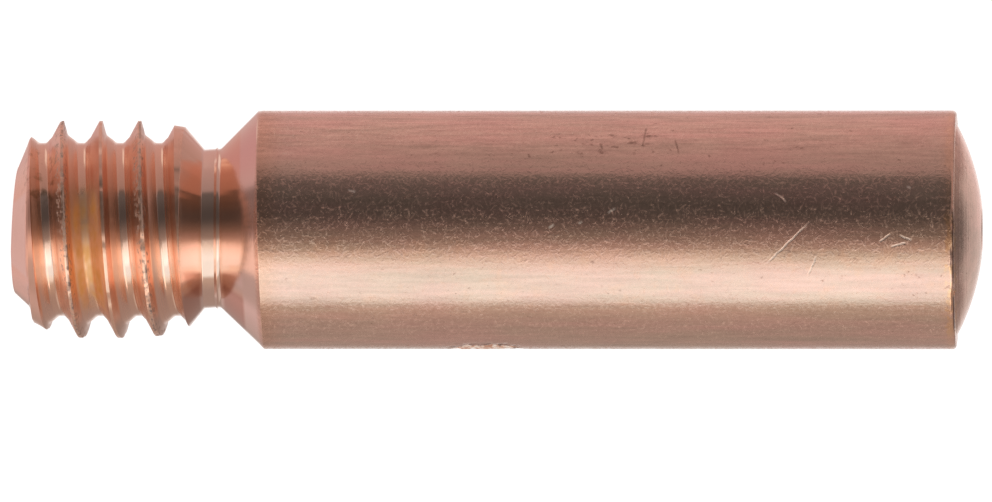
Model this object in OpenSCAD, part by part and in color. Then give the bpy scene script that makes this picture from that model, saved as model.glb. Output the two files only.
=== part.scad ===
// Welding contact tip: one piece turned from copper alloy rod.
// It stands on its threaded end, with its axis on Z and its crowned nose up.
// The wire enters through the cone at the threaded end and leaves at the nose.

/* [Body] */
// Length from the threaded end to the crown of the nose
overall_length = 25; // [20:0.5:40]
// Diameter of the plain body
body_d = 6.15; // [5.7:0.05:9]

/* [Nose] */
// Width of the flat land around the crowned nose
nose_land = 0.33; // [0.1:0.01:0.8]
// Radius of the crown
nose_crown_r = 5.8; // [3.5:0.1:20]

/* [Shoulder] */
// Angle of the seating cone from the axis
shoulder_angle = 45; // [30:1:60]
// Radius of the fillet at the foot of the seating cone
shoulder_fillet_r = 0.44; // [0.1:0.01:0.45]

/* [Neck] */
// Diameter of the relief between the thread and the seating cone
neck_d = 4.1; // [3.6:0.05:4.4]
// Length of the straight relief
neck_length = 0.38; // [0.38:0.02:2]

/* [Thread] */
// Diameter over the thread's crests
thread_d = 5.6; // [5.3:0.05:6]
// Distance from one turn of the thread to the next
thread_pitch = 1; // [0.85:0.05:1.5]
// Depth from crest to root
thread_depth = 0.58; // [0.3:0.02:0.66]
// Width of the flat left on each crest
crest_flat = 0.12; // [0.08:0.01:0.3]
// Angle between the two flanks of the groove
flank_angle = 60; // [40:1:65]
// Length from the end face to the foot of the run-out at the neck
thread_length = 5; // [3.5:0.1:12]
// Diameter to which the crests fade before the run-out
fade_d = 5.3; // [5:0.05:5.6]
// Length over which they fade
fade_length = 1; // [0.2:0.1:1.4]
// Angle of the run-out at the neck from the axis
run_out_angle = 45; // [30:1:70]
// Turn of the thread's start about the axis
thread_start = 97; // [0:1:359]

/* [Threaded end] */
// Diameter of the flat end face
end_face_d = 2.8; // [2.2:0.1:3.6]
// Diameter where the end chamfer meets the lead taper
lead_d = 4.76; // [4:0.02:5.2]
// Height of the end chamfer
end_chamfer = 0.42; // [0.2:0.02:0.8]
// Distance from the end face at which the crests reach full diameter
lead_length = 1.5; // [0.9:0.1:3]

/* [Wire bore] */
// Diameter of the bore that guides the wire
bore_d = 1; // [0.7:0.05:2]
// Diameter of the entry cone at the end face
entry_d = 2; // [1.2:0.1:2.1]
// Full angle of the entry cone
entry_angle = 60; // [40:5:120]

/* [Hidden] */
$fn = 96;

// Straight pieces of the groove to each turn of the thread
groove_steps = 40;
// How far a cutter reaches past the surface that it cuts
overcut = 0.05;

body_r = body_d / 2;
neck_r = neck_d / 2;
crest_r = thread_d / 2;
root_r = crest_r - thread_depth;
nose_r = body_r - nose_land;
crown_h = nose_crown_r - sqrt(nose_crown_r ^ 2 - nose_r ^ 2);
body_top = overall_length - crown_h;
fade_r = fade_d / 2;
run_out_foot = thread_length - (fade_r - neck_r) / tan(run_out_angle);
neck_mid = thread_length + neck_length / 2;
cone_foot = thread_length + neck_length;
cone_top = cone_foot + (body_r - neck_r) / tan(shoulder_angle);
fillet_run = shoulder_fillet_r * tan(shoulder_angle / 2);
entry_depth = (entry_d - bore_d) / 2 / tan(entry_angle / 2);

// Half width of the thread's groove at a given radius
function groove_half(r) =
    (thread_pitch - crest_flat) / 2 - (crest_r - r) * tan(flank_angle / 2);

// Section of the groove as radius and height, open outwards past the crests
groove_section = [
    [crest_r + overcut, -groove_half(crest_r + overcut)],
    [root_r, -groove_half(root_r)],
    [root_r, groove_half(root_r)],
    [crest_r + overcut, groove_half(crest_r + overcut)],
];

// The groove as one body swept along its helix, from below the end face to past the neck
module thread_groove() {
    corners = len(groove_section);
    first = -groove_steps;
    last = ceil((neck_mid / thread_pitch + 1) * groove_steps);
    points = [
        for (i = [first:last], c = groove_section)
        let (turn = i * 360 / groove_steps)
        [c.x * cos(turn), c.x * sin(turn), c.y + thread_pitch * turn / 360]
    ];
    rings = last - first;
    sides = [
        for (i = [0:rings - 1], j = [0:corners - 1])
        let (
            a = i * corners + j,
            b = i * corners + (j + 1) % corners
        )
        each [[a, a + corners, b], [b, a + corners, b + corners]]
    ];
    start_cap = [for (j = [0:corners - 1]) j];
    end_cap = [for (j = [corners - 1:-1:0]) rings * corners + j];
    rotate([0, 0, -thread_start])
        polyhedron(points, concat([start_cap], sides, [end_cap]));
}

// Turned end before threading: end chamfer, lead taper, crests and their fade, run-out, half the neck
module threaded_end() {
    difference() {
        rotate_extrude()
            polygon([
                [0, 0],
                [end_face_d / 2, 0],
                [lead_d / 2, end_chamfer],
                [crest_r, lead_length],
                [crest_r, run_out_foot - fade_length],
                [fade_r, run_out_foot],
                [neck_r, thread_length],
                [neck_r, neck_mid],
                [0, neck_mid],
            ]);
        thread_groove();
    }
}

// Fillet that fills the corner between the neck and the seating cone
module shoulder_fillet() {
    centre = [neck_r + shoulder_fillet_r, cone_foot - fillet_run];
    cone_side = [sin(shoulder_angle), cos(shoulder_angle)] * fillet_run;
    difference() {
        polygon([
            [neck_r, cone_foot - fillet_run],
            centre,
            [neck_r, cone_foot] + cone_side,
            [neck_r, cone_foot],
        ]);
        translate(centre)
            circle(r = shoulder_fillet_r);
    }
}

// Upper half of the neck, seating cone and plain body, up to the land around the nose
module shank() {
    rotate_extrude()
        union() {
            polygon([
                [0, neck_mid],
                [neck_r, neck_mid],
                [neck_r, cone_foot],
                [body_r, cone_top],
                [body_r, body_top],
                [0, body_top],
            ]);
            shoulder_fillet();
        }
}

// Crowned nose, a cap of a sphere
module nose() {
    intersection() {
        translate([0, 0, overall_length - nose_crown_r])
            sphere(r = nose_crown_r);
        translate([0, 0, body_top])
            cylinder(r = body_r, h = crown_h + overcut);
    }
}

// Bore right through, with its entry cone at the threaded end
module wire_bore() {
    translate([0, 0, -overcut])
        cylinder(d = bore_d, h = overall_length + 2 * overcut);
    cylinder(d1 = entry_d, d2 = bore_d, h = entry_depth);
}

module contact_tip() {
    color([0.78, 0.52, 0.42])
        difference() {
            union() {
                threaded_end();
                shank();
                nose();
            }
            wire_bore();
        }
}

contact_tip();
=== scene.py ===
import math

import bpy
from mathutils import Matrix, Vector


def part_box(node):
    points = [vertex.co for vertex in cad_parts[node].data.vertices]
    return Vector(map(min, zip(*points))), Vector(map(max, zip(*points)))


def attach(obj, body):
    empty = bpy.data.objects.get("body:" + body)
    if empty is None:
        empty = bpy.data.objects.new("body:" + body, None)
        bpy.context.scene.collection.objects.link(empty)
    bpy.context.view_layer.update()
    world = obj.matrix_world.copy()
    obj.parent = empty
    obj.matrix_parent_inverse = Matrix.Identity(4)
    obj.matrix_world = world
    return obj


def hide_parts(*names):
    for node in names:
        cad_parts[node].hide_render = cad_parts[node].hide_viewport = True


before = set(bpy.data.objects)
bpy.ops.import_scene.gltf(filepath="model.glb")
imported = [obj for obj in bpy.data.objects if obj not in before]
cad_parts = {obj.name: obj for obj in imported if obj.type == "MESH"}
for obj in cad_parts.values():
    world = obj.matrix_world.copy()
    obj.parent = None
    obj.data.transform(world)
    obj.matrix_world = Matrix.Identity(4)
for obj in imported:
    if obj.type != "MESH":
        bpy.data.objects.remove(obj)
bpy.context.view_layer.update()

# Contact tip: the turned blank.
# One copper alloy rod, drawn to size and turned on an automatic lathe: crowned nose, plain body,
# 45 degree seat, undercut neck and a shank for the thread, drilled through for the wire.
MM = 0.001
tip_low, tip_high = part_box("contact_tip")
body_r = (tip_high[0] - tip_low[0]) / 2
bore_r = 0.5 * MM

nose_land = 0.33 * MM
nose_crown_r = 5.8 * MM
nose_foot_r = body_r - nose_land
nose_centre_z = tip_high[2] - math.sqrt(nose_crown_r**2 - bore_r**2)
rim_z = nose_centre_z + math.sqrt(nose_crown_r**2 - nose_foot_r**2)
rim_round = 0.1 * MM
nose_foot_round = 0.02 * MM
bore_lip_round = 0.12 * MM
nose_steps = 28
lip_steps = 3

neck_r = 2.05 * MM
neck_foot_z = 4.92 * MM
neck_foot_round = 0.04 * MM
seat_foot_z = 5.34 * MM
seat_slope = 1.02
seat_top_z = seat_foot_z + (body_r - neck_r) * seat_slope
seat_round = 0.03 * MM
neck_fillet_r = 0.12 * MM
tool_ridge = 0.04 * MM
tool_ridge_top_z = 5.27 * MM
tool_ridge_lip = 0.01 * MM
tool_ridge_foot_z = 5.2 * MM

thread_r = 2.8 * MM
fade_r = 2.64 * MM
fade_z = 4.42 * MM
fade_round = 0.03 * MM
full_crest_z = 3.4 * MM

lead_r = 2.38 * MM
lead_z = 0.42 * MM
lead_end_z = 1.25 * MM
end_face_r = 1.6 * MM
end_round = 0.2 * MM
entry_r = 1.0 * MM
entry_half_angle = math.radians(30)
entry_depth = (entry_r - bore_r) / math.tan(entry_half_angle)
entry_rim_round = 0.03 * MM
entry_foot_round = 0.05 * MM

body_row = 0.1 * MM
edge_hold = 0.012 * MM
round_step = math.radians(9)


def nose_height(radius):
    return nose_centre_z + math.sqrt(nose_crown_r**2 - radius**2)


def rounded(corners):
    """Points round a closed section, with each corner (r, z, round) turned on its own radius.

    A point a little before and after each turn keeps the straight runs flat in the shading.
    """
    points = []
    for i, (r, z, turn) in enumerate(corners):
        if not turn:
            points.append((r, z))
            continue
        before = corners[i - 1]
        after = corners[(i + 1) % len(corners)]
        back = math.atan2(before[1] - z, before[0] - r)
        ahead = math.atan2(after[1] - z, after[0] - r)
        spread = (ahead - back + math.pi) % (2 * math.pi) - math.pi
        run = turn / math.tan(abs(spread) / 2)
        reach = turn / math.sin(abs(spread) / 2)
        middle = back + spread / 2
        centre = (r + reach * math.cos(middle), z + reach * math.sin(middle))
        first = back + math.copysign(math.pi / 2, -spread)
        sweep = math.copysign(math.pi - abs(spread), -spread)
        steps = max(3, round(abs(sweep) / round_step))
        hold = run + edge_hold
        points.append((r + hold * math.cos(back), z + hold * math.sin(back)))
        for k in range(steps + 1):
            angle = first + sweep * k / steps
            points.append((centre[0] + turn * math.cos(angle), centre[1] + turn * math.sin(angle)))
        points.append((r + hold * math.cos(ahead), z + hold * math.sin(ahead)))
    return points


nose_radii = [
    bore_r + (nose_foot_r - bore_r) * k / nose_steps
    for k in range(lip_steps, nose_steps - 1)
]
body_rows = int((rim_z - seat_top_z) / body_row) - 2
body_heights = [rim_z - body_row * (k + 1.5) for k in range(body_rows)]

tip_section = rounded(
    [(bore_r, nose_height(bore_r), bore_lip_round)]
    + [(r, nose_height(r), 0) for r in nose_radii]
    + [
        (nose_foot_r, rim_z, nose_foot_round),
        (body_r, rim_z, rim_round),
    ]
    + [(body_r, z, 0) for z in body_heights]
    + [
        (body_r, seat_top_z, seat_round),
        (neck_r, seat_foot_z, neck_fillet_r),
        (neck_r, tool_ridge_top_z, 0),
        (neck_r + tool_ridge, tool_ridge_top_z - tool_ridge_lip, 0),
        (neck_r, tool_ridge_foot_z, 0),
        (neck_r, neck_foot_z, neck_foot_round),
        (fade_r, fade_z, fade_round),
        (thread_r, full_crest_z, 0),
        (thread_r, lead_end_z, 0),
        (lead_r, lead_z, end_round),
        (end_face_r, 0, end_round),
        (entry_r, 0, entry_rim_round),
        (bore_r, entry_depth, entry_foot_round),
    ]
)

# Contact tip: the thread.
# A 1 mm pitch right-hand thread rolled into the shank: one helical groove with thin steep crests
# and a narrow root, which starts below the end face and runs out over the neck.
thread_pitch = 1.0 * MM
groove_depth = 0.565 * MM
groove_low_mouth = -0.485 * MM
groove_low_knee = (0.2 * MM, -0.385 * MM)
groove_low_root = -0.12 * MM
groove_high_root = 0.06 * MM
groove_high_knee = (0.14 * MM, 0.2 * MM)
groove_high_mouth = 0.43 * MM
groove_low_flare = 0.02 * MM
groove_high_flare = 0.036 * MM
groove_low_knee_round = 0.12 * MM
groove_low_root_round = 0.14 * MM
groove_high_root_round = 0.12 * MM
groove_high_knee_round = 0.14 * MM
groove_proud = 0.12
groove_start = math.radians(97)
groove_turns = 5.85
groove_run_out_turns = 0.5
groove_run_out = 0.5
lathe_steps = 192

groove_root_r = thread_r - groove_depth
groove_top_r = thread_r + groove_depth * groove_proud
groove_section = rounded(
    [
        (groove_top_r, groove_low_mouth - groove_low_flare, 0),
        (groove_root_r + groove_low_knee[0], groove_low_knee[1], groove_low_knee_round),
        (groove_root_r, groove_low_root, groove_low_root_round),
        (groove_root_r, groove_high_root, groove_high_root_round),
        (groove_root_r + groove_high_knee[0], groove_high_knee[1], groove_high_knee_round),
        (groove_top_r, groove_high_mouth + groove_high_flare, 0),
    ]
)


class Field:
    """A value in a node tree. Arithmetic on it adds Math nodes to that tree."""

    def __init__(self, tree, socket=None):
        self.tree = tree
        self.socket = socket

    def node(self, kind, settings=None, sockets=None, output=0):
        made = self.tree.nodes.new(kind)
        for name, value in (settings or {}).items():
            setattr(made, name, value)
        for name, value in (sockets or {}).items():
            if isinstance(value, Field):
                self.tree.links.new(value.socket, made.inputs[name])
            else:
                made.inputs[name].default_value = value
        return Field(self.tree, made.outputs[output])

    def output(self, name):
        return Field(self.tree, self.socket.node.outputs[name])

    def math(self, operation, *values):
        return self.node("ShaderNodeMath", {"operation": operation}, dict(enumerate(values)))

    def __add__(self, other):
        return self.math("ADD", self, other)

    def __radd__(self, other):
        return self.math("ADD", other, self)

    def __sub__(self, other):
        return self.math("SUBTRACT", self, other)

    def __rsub__(self, other):
        return self.math("SUBTRACT", other, self)

    def __mul__(self, other):
        return self.math("MULTIPLY", self, other)

    def __rmul__(self, other):
        return self.math("MULTIPLY", other, self)

    def __truediv__(self, other):
        return self.math("DIVIDE", self, other)

    def __pow__(self, other):
        return self.math("POWER", self, other)

    def __abs__(self):
        return self.math("ABSOLUTE", self)

    def highest(self, other):
        return self.math("MAXIMUM", self, other)

    def floor(self):
        return self.math("FLOOR", self)

    def scaled(self, factor):
        return self.node(
            "ShaderNodeVectorMath", {"operation": "SCALE"}, {0: self, "Scale": factor}
        )

    def step(self, low, high, start=0.0, end=1.0):
        """A smooth change from start to end as the value goes from low to high."""
        return self.node(
            "ShaderNodeMapRange",
            {"interpolation_type": "SMOOTHSTEP"},
            {0: self, 1: low, 2: high, 3: start, 4: end},
        )

    def between(self, low, high, soft):
        """1 from low to high, falling to 0 over soft on either side."""
        return self.step(low - soft, low) * self.step(high, high + soft, 1.0, 0.0)

    def noise(self, vector, scale, detail=2.0, roughness=0.5, output=0):
        return self.node(
            "ShaderNodeTexNoise",
            None,
            {"Vector": vector, "Scale": scale, "Detail": detail, "Roughness": roughness},
            output,
        )

    def vector(self, operation, *values, output=0):
        return self.node(
            "ShaderNodeVectorMath", {"operation": operation}, dict(enumerate(values)), output
        )


def ring_of(first, count):
    return [(first + k, first + (k + 1) % count) for k in range(count)]


section_mesh = bpy.data.meshes.new("tip_sections")
section_mesh.from_pydata(
    [(r, 0, z) for r, z in tip_section + groove_section],
    ring_of(0, len(tip_section)) + ring_of(len(tip_section), len(groove_section)),
    [],
)
contact_tip = bpy.data.objects.new("contact_tip_turned", section_mesh)
bpy.context.scene.collection.objects.link(contact_tip)
copper = bpy.data.materials.new("copper")

turning = bpy.data.node_groups.new("contact_tip_turning", "GeometryNodeTree")
turning.interface.new_socket("Geometry", in_out="INPUT", socket_type="NodeSocketGeometry")
turning.interface.new_socket("Geometry", in_out="OUTPUT", socket_type="NodeSocketGeometry")
turning_sizes = {
    "Blank Points": len(tip_section),
    "Facets": lathe_steps,
    "Path Radius": groove_root_r,
    "Pitch": thread_pitch,
    "Turns": groove_turns,
    "Start Angle": groove_start,
    "Run-out Start": 1 - groove_run_out_turns / groove_turns,
    "Run-out": groove_run_out,
}
turning_inputs = {
    name: turning.interface.new_socket(
        name,
        in_out="INPUT",
        socket_type="NodeSocketInt" if isinstance(value, int) else "NodeSocketFloat",
    ).identifier
    for name, value in turning_sizes.items()
}
given = Field(turning, turning.nodes.new("NodeGroupInput").outputs[0])
lathe = Field(turning)

section_shift = lathe.node("ShaderNodeCombineXYZ", None, {"X": 0 - given.output("Path Radius")})
flat_sections = lathe.node(
    "GeometryNodeTransform",
    None,
    {
        "Geometry": given,
        "Translation": section_shift,
        "Rotation": (math.pi / 2, 0, 0),
    },
)
parted = lathe.node(
    "GeometryNodeSeparateGeometry",
    {"domain": "POINT"},
    {
        "Geometry": flat_sections,
        "Selection": lathe.math(
            "LESS_THAN", lathe.node("GeometryNodeInputIndex"), given.output("Blank Points")
        ),
    },
)
blank = lathe.node(
    "GeometryNodeCurveToMesh",
    None,
    {
        "Curve": lathe.node(
            "GeometryNodeCurvePrimitiveCircle",
            None,
            {"Resolution": given.output("Facets"), "Radius": given.output("Path Radius")},
        ),
        "Profile Curve": lathe.node("GeometryNodeMeshToCurve", None, {"Mesh": parted}),
    },
)
helix = lathe.node(
    "GeometryNodeCurveSpiral",
    None,
    {
        "Resolution": given.output("Facets"),
        "Rotations": given.output("Turns"),
        "Start Radius": given.output("Path Radius"),
        "End Radius": given.output("Path Radius"),
        "Height": given.output("Turns") * given.output("Pitch"),
        "Reverse": True,
    },
)
leaving = lathe.node("GeometryNodeSplineParameter").step(given.output("Run-out Start"), 1.0)
widening = 1 + leaving * given.output("Run-out")
helix = lathe.node(
    "GeometryNodeSetPosition",
    None,
    {
        "Geometry": helix,
        "Position": lathe.vector(
            "MULTIPLY",
            lathe.node("GeometryNodeInputPosition"),
            lathe.node("ShaderNodeCombineXYZ", None, {"X": widening, "Y": widening, "Z": 1.0}),
        ),
    },
)
helix_shift = lathe.node("ShaderNodeCombineXYZ", None, {"Z": 0 - given.output("Pitch")})
helix_turn = lathe.node("ShaderNodeCombineXYZ", None, {"Z": 0 - given.output("Start Angle")})
placed_helix = lathe.node(
    "GeometryNodeTransform",
    None,
    {
        "Geometry": helix,
        "Translation": helix_shift,
        "Rotation": helix_turn,
    },
)
groove = lathe.node(
    "GeometryNodeCurveToMesh",
    None,
    {
        "Curve": lathe.node("GeometryNodeSetCurveNormal", {"mode": "Z_UP"}, {"Curve": placed_helix}),
        "Profile Curve": lathe.node(
            "GeometryNodeMeshToCurve", None, {"Mesh": parted.output("Inverted")}
        ),
        "Fill Caps": True,
    },
)
threaded = lathe.node(
    "GeometryNodeMeshBoolean",
    {"operation": "DIFFERENCE", "solver": "MANIFOLD"},
    {"Mesh 1": blank, "Mesh 2": groove},
)

# Contact tip: knocks and the second chucking.
# The shank was turned in a second grip, a little off the body's axis, so the seat's edge leans.
# The thread's start is torn, its crests are nicked, and one edge of the body has been bruised.
shank_shift = 0.045
thread_shift = 0.3 * shank_shift
seat_lean_x = 0.075
seat_lean_y = -0.06
thread_tilt = 0.012
torn_side = (60, 130)
torn_z = (0.28, 0.4)
torn_depth = 0.32
nick_depth = 0.03
bruise_side = (78, 96)
bruise_z = (11.4, 12.95)
bruise_depth = 0.05
rim_nick_side = (-5, 60)
rim_nick_depth = 0.045
end_lean_x = 0.57
end_lean = 0.045
lead_lean = -0.03
least_r = 0.4
merge_distance = 0.0005 * MM
sharp_edge = math.radians(28)

# A spot's place is in millimetres, like the depths and shifts above, and its side is the angle
# round from the front in degrees.
spot = lathe.node("GeometryNodeInputPosition").scaled(1 / MM)
spot_x = lathe.node("ShaderNodeSeparateXYZ", None, {0: spot})
spot_y = spot_x.output("Y")
spot_z = spot_x.output("Z")
spot_r = (spot_x * spot_x + spot_y * spot_y) ** 0.5
spot_side = lathe.math("ARCTAN2", spot_x, 0 - spot_y) * math.degrees(1)

torn = spot_side.between(*torn_side, 35) * spot_z.between(*torn_z, 0.12) * spot_r.step(1.6, 1.9)
nick_noise = lathe.noise(spot, 1.7)
crests = spot_r.step(2.5, 2.62) * spot_z.step(4.7, 4.5)
nicks = nick_noise.step(0.5, 0.7) * crests
bruise = spot_z.between(*bruise_z, 0.25) * spot_side.between(*bruise_side, 10)
bruise = bruise * lathe.noise(spot, 5.0).step(0.4, 0.65)
rim_nicks = spot_z.step(rim_z / MM - 0.1, rim_z / MM - 0.06) * spot_r.step(2.95, 3.0)
rim_nicks = rim_nicks * spot_side.between(*rim_nick_side, 10) * lathe.noise(spot, 3.0).step(0.42, 0.62)
inward = torn * torn_depth + nicks * nick_depth + bruise * bruise_depth
inward = inward + rim_nicks * rim_nick_depth
safe_r = spot_r.highest(least_r)
keep_r = 1 - inward / safe_r
shift_x = spot_z.between(5.2, 5.7, 0.5) * shank_shift + spot_z.step(5.2, 4.6) * thread_shift
lean_z = spot_z.between(6.2, 6.5, 0.6) * spot_x * seat_lean_x / safe_r
lean_z = lean_z + spot_z.between(5.2, 6.5, 0.5) * spot_y * seat_lean_y / safe_r
lean_z = lean_z + spot_z.between(0.6, 4.3, 0.5) * spot_y * thread_tilt
lean_z = lean_z + spot_z.step(0.45, 0.05) * (end_lean_x - spot_x).highest(0) * end_lean
lean_z = lean_z + spot_z.between(0.36, 0.44, 0.1) * spot_r.step(2.1, 2.3) * spot_y * lead_lean
worn_place = lathe.node(
    "ShaderNodeCombineXYZ",
    None,
    {"X": spot_x * keep_r - shift_x, "Y": spot_y * keep_r, "Z": spot_z + lean_z},
)
worn = lathe.node(
    "GeometryNodeSetPosition",
    None,
    {
        "Geometry": lathe.node(
            "GeometryNodeMergeByDistance", None, {"Geometry": threaded, "Distance": merge_distance}
        ),
        "Position": worn_place.scaled(MM),
    },
)

finished = lathe.node(
    "GeometryNodeSetMaterial",
    None,
    {
        "Geometry": lathe.node("GeometryNodeRealizeInstances", None, {"Geometry": worn}),
        "Material": copper,
    },
)
turning.links.new(finished.socket, turning.nodes.new("NodeGroupOutput").inputs["Geometry"])

turning_modifier = contact_tip.modifiers.new("turning", "NODES")
turning_modifier.node_group = turning
for name, value in turning_sizes.items():
    turning_modifier[turning_inputs[name]] = value
depsgraph = bpy.context.evaluated_depsgraph_get()
turned_mesh = bpy.data.meshes.new_from_object(contact_tip.evaluated_get(depsgraph))
contact_tip.modifiers.remove(turning_modifier)
contact_tip.data = turned_mesh
turned_mesh.shade_smooth()
turned_mesh.set_sharp_from_angle(angle=sharp_edge)

# Contact tip: the copper's finish.
# Bright drawn copper, a little tarnished from handling: a satin body under a haze of fine
# scratches, cleaner and redder metal on the thread, the seat and the worn edges.
tan_copper = (0.85, 0.63, 0.51, 1)
rose_copper = (0.87, 0.57, 0.485, 1)
worn_copper = (0.93, 0.58, 0.43, 1)
rim_copper = (0.99, 0.63, 0.41, 1)
seat_copper = (0.92, 0.67, 0.56, 1)
groove_copper = (0.93, 0.60, 0.455, 1)
# Painted highlight on the seat's foot.
highlight_copper = (1.0, 0.73, 0.63, 1)
# Painted shade on the seat's foot.
shade_copper = (0.52, 0.25, 0.19, 1)
# Painted glints: pale cream for the bruise's flecks and the bright scratches and flecks.
painted_glint_cream = (0.99, 0.86, 0.77, 1)
pit_brown = (0.30, 0.17, 0.13, 1)
grit_brown = (0.22, 0.14, 0.115, 1)
# Painted shadow, for the corner under the crown and the bruise's edge.
shadow_brown = (0.29, 0.17, 0.13, 1)
olive_stain = (0.76, 0.37, 0.09, 1)
oxide_brown = (0.34, 0.20, 0.10, 1)

copper.use_nodes = True
copper.node_tree.nodes.clear()
skin = Field(copper.node_tree)
place = skin.node("ShaderNodeTexCoord", output="Object").scaled(1 / MM)
place_x = skin.node("ShaderNodeSeparateXYZ", None, {0: place})
place_y = place_x.output("Y")
place_z = place_x.output("Z")
place_r = (place_x * place_x + place_y * place_y) ** 0.5
place_side = skin.math("ARCTAN2", place_x, 0 - place_y)
place_arc = place_side * (body_r / MM)
tangent = skin.vector(
    "NORMALIZE", skin.node("ShaderNodeCombineXYZ", None, {"X": 0 - place_y, "Y": place_x})
)

seat_edge = seat_top_z / MM
rim_edge = rim_z / MM
on_body = place_z.step(seat_edge - 0.06, seat_edge + 0.06)
on_thread = place_z.step(4.75, 4.65)
on_nose = place_z.step(rim_edge - 0.01, rim_edge + 0.02)


def mix_colour(field, factor, first, second):
    return field.node(
        "ShaderNodeMix", {"data_type": "RGBA"}, {"Factor": factor, 6: first, 7: second}, output=2
    )


def scratch_haze(cell, half_length, half_width, share, seed):
    """Short scratches at every angle, one to a cell of the given size at most."""
    moved = skin.vector("ADD", place, (seed, seed, seed))
    cells = skin.node(
        "ShaderNodeTexVoronoi", None, {"Vector": moved, "Scale": 1 / cell}, "Position"
    )
    chance = skin.node("ShaderNodeSeparateColor", None, {0: cells.output("Color")})
    offset = skin.vector("SUBTRACT", moved, cells)
    around = skin.vector("DOT_PRODUCT", offset, tangent, output="Value")
    along = skin.node("ShaderNodeSeparateXYZ", None, {0: offset}, "Z")
    turn = chance * math.pi
    cosine = skin.math("COSINE", turn)
    sine = skin.math("SINE", turn)
    across_line = abs(around * cosine - along * sine)
    along_line = abs(around * sine + along * cosine)
    kept = chance.output("Green").step(share, share * 0.2)
    return across_line.step(half_width, 0.0) * along_line.step(half_length, half_length * 0.4) * kept


wander = skin.node("ShaderNodeSeparateColor", None, {0: skin.noise(place, 5.0, 2.0, 0.6, "Color")})
marked_arc = place_arc + (wander - 0.5) * 0.07
marked_z = place_z + (wander.output("Green") - 0.5) * 0.07


def marks(places, half_width):
    """Marks on the body, each from (arc, height) to (arc, height) in mm, none quite straight."""
    total = None
    for (arc_a, z_a), (arc_b, z_b) in places:
        length = math.hypot(arc_b - arc_a, z_b - z_a)
        cosine = (arc_b - arc_a) / length
        sine = (z_b - z_a) / length
        middle_arc = (arc_a + arc_b) / 2
        middle_z = (z_a + z_b) / 2
        along = abs(marked_arc * cosine + marked_z * sine - (middle_arc * cosine + middle_z * sine))
        across = abs(marked_arc * sine - marked_z * cosine - (middle_arc * sine - middle_z * cosine))
        mark = across.step(half_width, half_width * 0.3) * along.step(length * 0.55, length * 0.3)
        total = mark if total is None else total.highest(mark)
    return total


# The drawn body: fine grain, streaks along the draw, a haze of scratches and single marks.
grain = skin.noise(place, 10.0, 3.0, 0.7)
clouds = skin.noise(place, 0.5, 2.0, 0.6)
streaks = skin.noise(skin.vector("MULTIPLY", place, (2.4, 2.4, 0.16)), 1.0, 3.0, 0.6)
fine_streaks = skin.noise(skin.vector("MULTIPLY", place, (9.0, 9.0, 0.8)), 1.0, 2.0, 0.6)
haze = (
    scratch_haze(cell=0.28, half_length=0.14, half_width=0.042, share=0.9, seed=0.0)
    + scratch_haze(cell=0.17, half_length=0.1, half_width=0.036, share=1.1, seed=7.3)
    + scratch_haze(cell=0.11, half_length=0.07, half_width=0.03, share=0.9, seed=4.9)
)
haze = haze * (1 - on_nose * 0.9) * (1 - place_side.between(0.38, 0.8, 0.15) * 0.5)
nose_rings = skin.noise(skin.node("ShaderNodeCombineXYZ", None, {"X": place_r * 9.0}), 1.0, 2.0, 0.6)
# The bright flecks and bright scratches are real marks whose glints are painted in pale cream.
bright_flecks = marks(
    [
        ((-1.06, 8.77), (-0.98, 8.97)),
        ((-0.42, 15.43), (-0.56, 15.65)),
        ((-1.14, 23.10), (-1.08, 23.22)),
        ((-0.15, 14.68), (-0.23, 14.79)),
        ((-0.05, 13.92), (-0.14, 14.08)),
    ],
    half_width=0.05,
)
bright_scratches = marks(
    [
        ((0.90, 19.50), (-0.24, 20.66)),
        ((1.22, 20.56), (0.68, 20.80)),
        ((-0.98, 19.72), (-0.70, 20.05)),
        ((0.32, 22.40), (0.10, 22.72)),
        ((0.44, 22.70), (0.34, 23.10)),
        ((0.14, 22.90), (0.28, 23.25)),
    ],
    half_width=0.034,
)
dark_scratches = marks(
    [
        ((-3.18, 16.39), (-2.30, 16.29)),
        ((-2.64, 17.13), (-2.09, 17.25)),
        ((-2.12, 13.37), (-1.98, 13.42)),
        ((-2.08, 18.00), (-1.98, 18.05)),
        ((-2.50, 15.20), (-2.25, 15.28)),
    ],
    half_width=0.04,
)
pit_field = place_arc.between(-2.75, -2.2, 0.3) * place_z.between(14.3, 16.4, 0.9)
pit_noise = skin.noise(skin.vector("MULTIPLY", place, (1.0, 1.0, 0.7)), 6.5, 3.0, 0.65)
pits = (pit_noise + pit_field * 0.1).step(0.62, 0.78) * on_body

rosy = (streaks * 0.6 + clouds * 0.4).step(0.36, 0.66)
bloom = skin.noise(place, 1.8, 3.0, 0.6).step(0.52, 0.72) * place_side.between(0.12, 0.66, 0.12)
near_seat = place_z.step(seat_edge + 0.8, seat_edge)
near_rim = place_z.step(rim_edge - 0.5, rim_edge)

# The rim is worn bright in places, and a painted shadow darkens the corner under the crown.
rim_side = place_side.between(-0.05, 1.0, 0.15) * 0.75 + 0.25
rim_ragged = (skin.noise(place, 6.0, 2.0, 0.6) - 0.5) * 0.3
rim_wear = (
    (place_z + rim_ragged).between(rim_edge - 0.18, rim_edge, 0.05)
    * skin.noise(place, 3.5, 2.0).step(0.38, 0.52)
    * rim_side
)
# Painted shadow: a dark line in the corner under the crown.
rim_corner_shadow = place_z.between(rim_edge - 0.03, rim_edge + 0.02, 0.02) * place_r.step(2.8, 2.9) * rim_side
rim_corner_shadow = rim_corner_shadow * skin.noise(place, 2.0, 2.0).step(0.35, 0.5)
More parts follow.
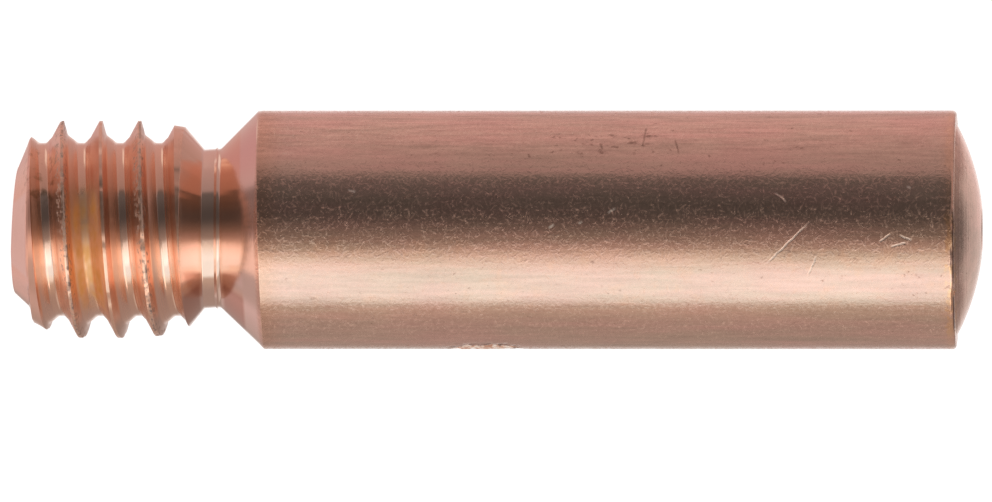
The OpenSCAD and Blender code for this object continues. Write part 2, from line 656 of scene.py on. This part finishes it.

# The bruise is a ragged oval, scuffed to bare metal, with pale cream flecks painted in as glints and a
# painted shadow along its edge towards the front.
bruise_centre_z = 12.15
bruise_centre_arc = 4.62
bruise_half_z = 0.95
bruise_half_arc = 0.56
bruise_up = (place_z - bruise_centre_z) / bruise_half_z
bruise_round = (place_arc - bruise_centre_arc) / bruise_half_arc
bruise_spread = bruise_up**2 + bruise_round**2
bruise_spread = bruise_spread + (skin.noise(place, 4.0, 3.0, 0.6) - 0.5) * 1.6
bruised = bruise_spread.step(1.05, 0.8)
bruise_grain = skin.noise(skin.vector("MULTIPLY", place, (1.0, 1.0, 0.45)), 9.0, 2.0, 0.6)
# Painted glints: pale cream, less metallic flecks over the scuffed metal.
bruise_glints = bruise_grain.step(0.42, 0.58)
# Painted shadow along the bruise's edge towards the front.
bruise_shadow = bruise_spread.between(1.05, 1.3, 0.25) * place_side.step(1.45, 1.3)

base = mix_colour(skin, rosy, tan_copper, rose_copper)
base = mix_colour(skin, bloom * 0.4, base, worn_copper)
base = mix_colour(skin, near_seat * 0.8 + near_rim * 0.5, base, worn_copper)
base = mix_colour(skin, rim_wear, base, rim_copper)
# Painted shadows in the corner under the crown and along the bruise's edge.
base = mix_colour(skin, rim_corner_shadow * 0.9, base, shadow_brown)
base = mix_colour(skin, bruise_shadow * 0.45, base, shadow_brown)
# The scuffed metal, with its painted glints in pale cream.
base = mix_colour(skin, bruised, base, mix_colour(skin, bruise_glints, worn_copper, painted_glint_cream))
# Painted glints: the bright scratches and flecks are coloured pale cream.
base = mix_colour(skin, bright_scratches * 0.7 + bright_flecks, base, painted_glint_cream)
base = mix_colour(skin, (pits * 0.6).highest(dark_scratches * 0.45), base, pit_brown)

# The thread: grit on two of its crests, one stained groove, and oxide near its start.
full_turn = 2 * math.pi
crest_place = 0.473
turns = place_z / (thread_pitch / MM) - place_side / full_turn - (groove_start / full_turn - 0.25)
crest_number = turns.floor()
from_crest = abs(turns - crest_number - crest_place)
crest_centre = from_crest.step(0.04, 0.015)
crest_top = place_r.step(2.5, 2.6) * on_thread
dirty_crest = abs(crest_number - 1).step(0.6, 0.4) + abs(crest_number - 3).step(0.6, 0.4)
grit_noise = skin.noise(place, 8.0, 2.0, 0.6)
seam = crest_centre * skin.noise(place, 2.5).step(0.4, 0.55)
grit = (grit_noise.step(0.47, 0.7) + seam * 0.9) * crest_top * (0.1 + 0.9 * dirty_crest)
flank = place_r.step(2.26, 2.34) * place_z.step(4.5, 4.35)
groove_number = (turns + 0.5).floor()
stained_groove = abs(groove_number - 2).step(0.6, 0.4) * place_side.between(-0.2, 0.8, 0.5)
stain_noise = skin.noise(skin.vector("MULTIPLY", place, (1.0, 1.0, 2.0)), 1.4, 2.0, 0.6)
stain = stained_groove * stain_noise.step(0.1, 0.7) * from_crest.step(0.06, 0.26) * on_thread
oxide_field = place_side.between(-0.95, -0.4, 0.25) * place_z.between(0.45, 1.1, 0.2)
oxide = oxide_field * skin.noise(place, 4.0, 2.0, 0.6).step(0.48, 0.7)

# The foot of the seat and the run-out face each other across the neck; the seat's foot has a painted
# highlight near the front and a painted shade further round.
seat_foot = place_r.between(2.16, 2.58, 0.1) * place_z.between(4.5, 6.2, 0.15)
# Painted shade on the seat's foot, further round from the front.
seat_foot_shade = seat_foot * place_side.between(0.78, 1.5, 0.1)
# Painted highlight on the seat's foot, near the front.
seat_foot_highlight = seat_foot * place_side.between(0.08, 0.56, 0.08)
# Painted shade: the thread away from the lit front, and the seat's foot away from it, take the redder,
# darker groove copper; the flanks take it all round.
root_shade = on_thread * (1 - place_side.between(-0.38, 0.52, 0.1))
redder = (flank + seat_foot * (1 - place_side.between(-0.2, 0.6, 0.15))).highest(root_shade)
cut_copper = mix_colour(skin, redder, seat_copper, groove_copper)
# Painted highlight and painted shade on the seat's foot.
cut_copper = mix_colour(skin, seat_foot_highlight, cut_copper, highlight_copper)
cut_copper = mix_colour(skin, seat_foot_shade * 0.62, cut_copper, shade_copper)
cut_copper = mix_colour(skin, stain * 0.9, cut_copper, olive_stain)
cut_copper = mix_colour(skin, oxide * 0.6, cut_copper, oxide_brown)
cut_copper = mix_colour(skin, grit * 0.62, cut_copper, grit_brown)
base = mix_colour(skin, on_body, cut_copper, base)
shade = 1 - near_seat * on_body * 0.1 + (grain - 0.5) * (0.06 + 0.2 * on_body)
shade = shade + on_body * ((streaks - 0.5) * 0.45 + (fine_streaks - 0.5) * 0.3)
upper_side = on_body * place_side.between(-1.7, -0.8, 0.25)
shade = shade + upper_side * ((fine_streaks - 0.5) * 0.35 + (grain - 0.5) * 0.2)
base = skin.vector(
    "MULTIPLY",
    base,
    skin.node("ShaderNodeCombineXYZ", None, {"X": shade, "Y": shade, "Z": shade}),
)

bore_lip = place_r.step(0.6, 0.5) * on_nose
cut_roughness = 0.13 + on_thread * 0.03 + flank * 0.12 + stain * 0.32 + bore_lip * 0.35
drawn_roughness = 0.055 + (grain - 0.5) * 0.24 + haze * 0.16
marked_roughness = bruised * 0.35 + bright_flecks * 0.22 + bright_scratches * 0.3
dirt_roughness = (pits + grit + dark_scratches * on_body) * 0.2
roughness = cut_roughness + on_body * (drawn_roughness + marked_roughness) + dirt_roughness

# Heights of the relief are in millimetres.
grain_height = 0.0026
cut_grain_height = 0.0006
streak_height = 0.0010
haze_height = 0.0011
ring_height = 0.006
bruise_height = 0.03
scratch_depth = 0.005
height = (
    grain * grain_height * (1 - on_nose * 0.6)
    + fine_streaks * streak_height
    + haze * haze_height
    + nose_rings * on_nose * ring_height
    + bruised * bruise_grain * bruise_height
    - bright_scratches * scratch_depth
)
relief = skin.node(
    "ShaderNodeBump",
    None,
    {"Strength": 1.0, "Distance": MM, "Height": height * on_body + grain * cut_grain_height},
)
shader = skin.node(
    "ShaderNodeBsdfPrincipled",
    None,
    {
        "Base Color": base,
        # Less metal in the painted glints lets their pale cream show.
        "Metallic": 1 - stain * 0.28 - grit * 0.4 - bruised * bruise_glints * 0.6,
        "Roughness": roughness,
        "Normal": relief,
    },
)
surface = copper.node_tree.nodes.new("ShaderNodeOutputMaterial")
copper.node_tree.links.new(shader.socket, surface.inputs["Surface"])

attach(contact_tip, "root")
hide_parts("contact_tip")

# Floor.
# A plain white table under the tip, lit evenly enough to read as white paper.
floor_half = 4.0
floor_mesh = bpy.data.meshes.new("floor")
floor_mesh.from_pydata(
    [
        (-floor_half, -floor_half, 0),
        (floor_half, -floor_half, 0),
        (floor_half, floor_half, 0),
        (-floor_half, floor_half, 0),
    ],
    [],
    [(0, 1, 2, 3)],
)
floor = bpy.data.objects.new("floor", floor_mesh)
bpy.context.scene.collection.objects.link(floor)
paper = bpy.data.materials.new("white_paper")
paper.use_nodes = True
paper_shader = paper.node_tree.nodes["Principled BSDF"]
paper_shader.inputs["Base Color"].default_value = (0.5, 0.5, 0.5, 1)
paper_shader.inputs["Roughness"].default_value = 1.0
paper_shader.inputs["Specular IOR Level"].default_value = 0.0
paper_shader.inputs["Emission Color"].default_value = (1, 1, 1, 1)
paper_shader.inputs["Emission Strength"].default_value = 0.95
floor_mesh.materials.append(paper)
floor.visible_glossy = False
floor.visible_shadow = False

# Studio.
# Soft cards stand round the tip: a pale card on one side, a dark gap beside the camera, a bright
# panel, a second card, and a white backdrop behind.
studio = bpy.data.worlds.new("studio")
bpy.context.scene.world = studio
studio.use_nodes = True
studio.node_tree.nodes.clear()
room = Field(studio.node_tree)
aim = room.node("ShaderNodeTexCoord", output="Generated")
across = room.node("ShaderNodeSeparateXYZ", None, {0: aim})
depth = across.output("Y")
upward = across.output("Z")
round_angle = room.math("ARCTAN2", 0 - across, 0 - depth) * math.degrees(1)
height_angle = room.math("ARCSINE", upward) * math.degrees(1)

gap_light = (0.072, 0.064, 0.061, 1)
gap_edge = (0.33, 0.248, 0.208, 1)
gap_far = (0.125, 0.11, 0.105, 1)
panel_edge = (0.83, 0.705, 0.575, 1)
panel_light = (1.01, 1.08, 1.06, 1)
panel_glow = (1.6, 1.38, 1.24, 1)
low_card_near = (0.53, 0.43, 0.36, 1)
low_card = (0.395, 0.325, 0.295, 1)
high_card = (0.33, 0.25, 0.235, 1)
high_card_far = (0.60, 0.41, 0.39, 1)
white = (1.05, 1.05, 1.05, 1)
backdrop_light = (1.05, 1.06, 1.07, 1)
ceiling_middle = (0.13, 0.12, 0.12, 1)
ceiling_high = (0.46, 0.34, 0.33, 1)
ceiling_low = (0.34, 0.28, 0.27, 1)
strip_light = (1.05, 1.0, 0.95, 1)
table_far = (0.71, 0.535, 0.53, 1)
table_up = (0.577, 0.353, 0.369, 1)
table_down = (0.66, 0.53, 0.54, 1)
table = (0.54, 0.39, 0.40, 1)
table_low = (0.50, 0.405, 0.395, 1)
below_dark = (0.22, 0.16, 0.155, 1)
below_bright = (1.02, 0.74, 0.65, 1)

# Each card starts over a range of angles round the tip, in degrees from the camera.
ring = gap_light
for start_angle, full_angle, card_light in (
    (16, -22, gap_edge),
    (-11.5, -32, panel_edge),
    (-20, -46, panel_light),
    (20, 52, gap_far),
    (-72, -78, low_card_near),
    (-78, -106, low_card),
    (51.5, 57, mix_colour(room, round_angle.step(30, 140), high_card, high_card_far)),
):
    ring = mix_colour(room, round_angle.step(start_angle, full_angle), ring, card_light)
glow = round_angle.between(-80, -30, 8) * height_angle.between(11, 24, 4)
ring = mix_colour(room, glow, ring, panel_glow)
backdrop = abs(round_angle).step(150, 177) * height_angle.between(-6, 5, 9)
ring = mix_colour(room, backdrop, ring, backdrop_light)
ceiling = mix_colour(room, across.step(0.0, -0.4), ceiling_middle, ceiling_high)
ceiling = mix_colour(room, across.step(0.0, 0.4), ceiling, ceiling_low)
ceiling_start = abs(round_angle).step(80, 120, 30, 4)
ring = mix_colour(room, height_angle.step(ceiling_start, ceiling_start + 42), ring, ceiling)
table_colour = mix_colour(room, across.step(-0.2, -0.45), table_far, table_up)
table_colour = mix_colour(room, across.step(0.2, 0.45), table_colour, table_down)
table_start = abs(round_angle).step(140, 170, -23, -10)
table_seen = abs(round_angle).step(95, 140) * height_angle.step(table_start, table_start - 22)
ring = mix_colour(room, table_seen, ring, table_colour)
ring = mix_colour(room, height_angle.step(-52, -80), ring, table)
ring = mix_colour(room, height_angle.step(-42, -52) * across.step(0.2, 0.4), ring, table_low)
below = height_angle.step(-58, -66)
ring = mix_colour(room, below * across.between(-0.28, 0.0, 0.06), ring, below_dark)
ring = mix_colour(room, below * across.between(0.12, 0.33, 0.05), ring, below_bright)
strips = round_angle.between(105, 132, 10) * 0.6 + round_angle.between(-132, -105, 10) * 0.3
ring = mix_colour(room, strips * height_angle.between(-32, -12, 5), ring, strip_light)
seen = mix_colour(room, room.node("ShaderNodeLightPath", output="Is Camera Ray"), ring, white)
sky = room.node("ShaderNodeBackground", None, {"Color": seen})
room_out = studio.node_tree.nodes.new("ShaderNodeOutputWorld")
studio.node_tree.links.new(sky.socket, room_out.inputs["Surface"])


def place_card(name, angle, distance, width, low, high, radiance):
    """A small soft card beside the tip, which only its reflections show."""
    light = bpy.data.lights.new(name, "AREA")
    light.shape = "RECTANGLE"
    light.size = width
    light.size_y = high - low
    light.energy = radiance * math.pi * width * (high - low)
    card = bpy.data.objects.new(name, light)
    bpy.context.scene.collection.objects.link(card)
    out_x = -math.sin(math.radians(angle))
    out_y = -math.cos(math.radians(angle))
    card.matrix_world = Matrix(
        (
            (-out_y, 0, out_x, out_x * distance),
            (out_x, 0, out_y, out_y * distance),
            (0, 1, 0, (low + high) / 2),
            (0, 0, 0, 1),
        )
    )
    card.visible_camera = False


place_card(
    "thread_card",
    angle=-31,
    distance=15 * MM,
    width=8 * MM,
    low=-6 * MM,
    high=4.6 * MM,
    radiance=0.4,
)
place_card(
    "seat_card",
    angle=-42,
    distance=7 * MM,
    width=6 * MM,
    low=5.3 * MM,
    high=6.1 * MM,
    radiance=0.25,
)
place_card(
    "nose_card",
    angle=180,
    distance=15 * MM,
    width=10 * MM,
    low=27 * MM,
    high=42 * MM,
    radiance=0.33,
)

bpy.context.scene.view_settings.view_transform = "Standard"

# Camera.
# A long lens square on to the tip's side, turned so that the nose points right, and raised a
# little towards the nose.
image_width = 992
image_height = 502
tip_scale = 38.8 / MM
end_face_x = 13.5
axis_y = 229.9
lens = 840
sensor = 36
raised = math.radians(2.6)

look_z = (image_width / 2 - end_face_x) / tip_scale
look_x = (image_height / 2 - axis_y) / tip_scale
distance = image_width / tip_scale * lens / sensor
camera_data = bpy.data.cameras.new("camera")
camera_data.lens = lens
camera_data.sensor_width = sensor
camera_data.clip_start = 0.01
camera_data.clip_end = 20
camera = bpy.data.objects.new("camera", camera_data)
bpy.context.scene.collection.objects.link(camera)
sine = math.sin(raised)
cosine = math.cos(raised)
camera.matrix_world = Matrix(
    (
        (0, -1, 0, look_x),
        (sine, 0, -cosine, -distance * cosine),
        (cosine, 0, sine, look_z + distance * sine),
        (0, 0, 0, 1),
    )
)
bpy.context.scene.camera = camera
